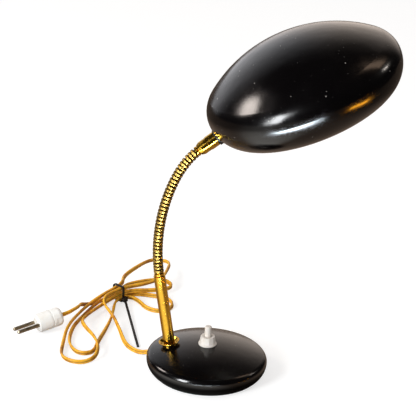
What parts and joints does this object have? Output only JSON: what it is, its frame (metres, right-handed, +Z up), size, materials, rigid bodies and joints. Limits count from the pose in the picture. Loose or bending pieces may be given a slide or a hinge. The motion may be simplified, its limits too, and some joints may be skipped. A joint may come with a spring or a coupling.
{
  "type": "gooseneck desk lamp",
  "caption": "Desk lamp with a shallow domed black shade on a ribbed brass gooseneck, a leaning brass stem, a round weighted base with a push switch, and a tied-up cord with a plug.",
  "frame": {"origin": "centre of the round base's resting face", "axes": "+Z up, +X from the stem's foot through the switch towards the side the shade reaches over, +Y towards the side the hank of cord lies on"},
  "size_m": [0.3863, 0.2999, 0.3692],
  "materials": {
    "black_lacquer": "gloss",
    "yellow_brass": "polished",
    "steel": "satin",
    "iron": "matte",
    "pad_rubber": "matte",
    "ivory_plastic": "gloss",
    "white_plastic": "gloss",
    "gold_flex": "satin",
    "black_nylon": "satin",
    "brown_plastic": "gloss",
    "porcelain": "gloss",
    "opal_glass": "satin",
    "cap_metal": "satin"
  },
  "bodies": {
    "base": {"base_shell": "black_lacquer", "foot_pad": "pad_rubber", "base_plate": "steel", "ballast_weight": "iron", "base_screws": "steel", "cord_grommet": "black_nylon", "switch_body": "ivory_plastic", "switch_nut": "ivory_plastic", "switch_spring": "steel", "switch_terminals": "yellow_brass", "stem_tube": "yellow_brass", "stem_collar": "yellow_brass", "stem_nipple": "steel", "stem_washer": "steel", "stem_nut": "steel", "neck_root": "yellow_brass", "cord_lead": "gold_flex", "cord_hank": "gold_flex", "cord_plug_lead": "gold_flex", "cable_tie": "black_nylon", "plug_body": "white_plastic", "plug_pins": "yellow_brass", "plug_cap": "white_plastic"},
    "button": {"switch_button": "ivory_plastic"},
    "neck_length_01": {"neck_length_01": "yellow_brass"},
    "neck_length_02": {"neck_length_02": "yellow_brass"},
    "neck_length_03": {"neck_length_03": "yellow_brass"},
    "neck_length_04": {"neck_length_04": "yellow_brass"},
    "neck_length_05": {"neck_length_05": "yellow_brass"},
    "neck_length_06": {"neck_length_06": "yellow_brass"},
    "neck_length_07": {"neck_length_07": "yellow_brass"},
    "neck_length_08": {"neck_length_08": "yellow_brass"},
    "neck_length_09": {"neck_length_09": "yellow_brass"},
    "neck_length_10": {"neck_length_10": "yellow_brass"},
    "neck_length_11": {"neck_length_11": "yellow_brass"},
    "neck_length_12": {"neck_length_12": "yellow_brass"},
    "head": {"neck_tip": "yellow_brass", "neck_ferrule": "yellow_brass", "ferrule_washer": "pad_rubber", "shade_shell": "black_lacquer", "shade_washer": "steel", "shade_nipple": "steel", "shade_nut": "steel", "holder_cap": "brown_plastic", "holder_shell": "brown_plastic", "holder_insert": "porcelain", "holder_contacts": "yellow_brass", "bulb_cap": "cap_metal", "bulb_glass": "opal_glass"}
  },
  "joints": [
    {"name": "neck_bend_01", "type": "hinge", "parent": "base", "child": "neck_length_01", "pos_m": [-0.05389, 0, 0.10655], "axis": [-0.2382, 0.9703, -0.0424], "range_deg": [-9, 6]},
    {"name": "neck_sway_02", "type": "hinge", "parent": "neck_length_01", "child": "neck_length_02", "pos_m": [-0.05536, 0.00014, 0.118], "axis": [0.9663, 0.2411, 0.0903], "range_deg": [-8, 8]},
    {"name": "neck_bend_03", "type": "hinge", "parent": "neck_length_02", "child": "neck_length_03", "pos_m": [-0.05615, 0.00045, 0.12952], "axis": [-0.2382, 0.9703, -0.0424], "range_deg": [-9, 6]},
    {"name": "neck_sway_04", "type": "hinge", "parent": "neck_length_03", "child": "neck_length_04", "pos_m": [-0.05626, 0.00093, 0.14106], "axis": [0.971, 0.237, -0.0305], "range_deg": [-8, 8]},
    {"name": "neck_bend_05", "type": "hinge", "parent": "neck_length_04", "child": "neck_length_05", "pos_m": [-0.0557, 0.00157, 0.15258], "axis": [-0.2382, 0.9703, -0.0424], "range_deg": [-9, 6]},
    {"name": "neck_sway_06", "type": "hinge", "parent": "neck_length_05", "child": "neck_length_06", "pos_m": [-0.05445, 0.00237, 0.16404], "axis": [0.9615, 0.2294, -0.1516], "range_deg": [-8, 8]},
    {"name": "neck_bend_07", "type": "hinge", "parent": "neck_length_06", "child": "neck_length_07", "pos_m": [-0.05253, 0.00334, 0.17538], "axis": [-0.2382, 0.9703, -0.0424], "range_deg": [-9, 6]},
    {"name": "neck_sway_08", "type": "hinge", "parent": "neck_length_07", "child": "neck_length_08", "pos_m": [-0.0499, 0.00448, 0.18657], "axis": [0.9361, 0.2177, -0.2761], "range_deg": [-8, 8]},
    {"name": "neck_bend_09", "type": "hinge", "parent": "neck_length_08", "child": "neck_length_09", "pos_m": [-0.04655, 0.00578, 0.19755], "axis": [-0.2382, 0.9703, -0.0424], "range_deg": [-9, 6]},
    {"name": "neck_sway_10", "type": "hinge", "parent": "neck_length_09", "child": "neck_length_10", "pos_m": [-0.04241, 0.00726, 0.20823], "axis": [0.8858, 0.1991, -0.4192], "range_deg": [-8, 8]},
    {"name": "neck_bend_11", "type": "hinge", "parent": "neck_length_10", "child": "neck_length_11", "pos_m": [-0.03736, 0.00895, 0.21848], "axis": [-0.2382, 0.9703, -0.0424], "range_deg": [-9, 3.5]},
    {"name": "neck_sway_12", "type": "hinge", "parent": "neck_length_11", "child": "neck_length_12", "pos_m": [-0.03122, 0.01088, 0.22807], "axis": [0.7703, 0.1621, -0.6168], "range_deg": [-8, 8]},
    {"name": "neck_bend_13", "type": "hinge", "parent": "neck_length_12", "child": "head", "pos_m": [-0.02373, 0.01309, 0.23658], "axis": [-0.2382, 0.9703, -0.0424], "range_deg": [-9, 3.5]},
    {"name": "switch_press", "type": "slide", "parent": "base", "child": "button", "axis": [0, 0, -1], "range_m": [0, 0.003], "stiffness_N_per_m": 500, "springref_m": -0.002, "deforming": ["switch_spring"]}
  ],
  "couplings": [
    {"joint": "neck_bend_03", "follows": "neck_bend_01", "ratio": 1},
    {"joint": "neck_bend_05", "follows": "neck_bend_01", "ratio": 1},
    {"joint": "neck_bend_09", "follows": "neck_bend_07", "ratio": 1},
    {"joint": "neck_bend_13", "follows": "neck_bend_11", "ratio": 1},
    {"joint": "neck_sway_04", "follows": "neck_sway_02", "ratio": 1},
    {"joint": "neck_sway_06", "follows": "neck_sway_02", "ratio": 1},
    {"joint": "neck_sway_10", "follows": "neck_sway_08", "ratio": 1},
    {"joint": "neck_sway_12", "follows": "neck_sway_08", "ratio": 1}
  ]
}
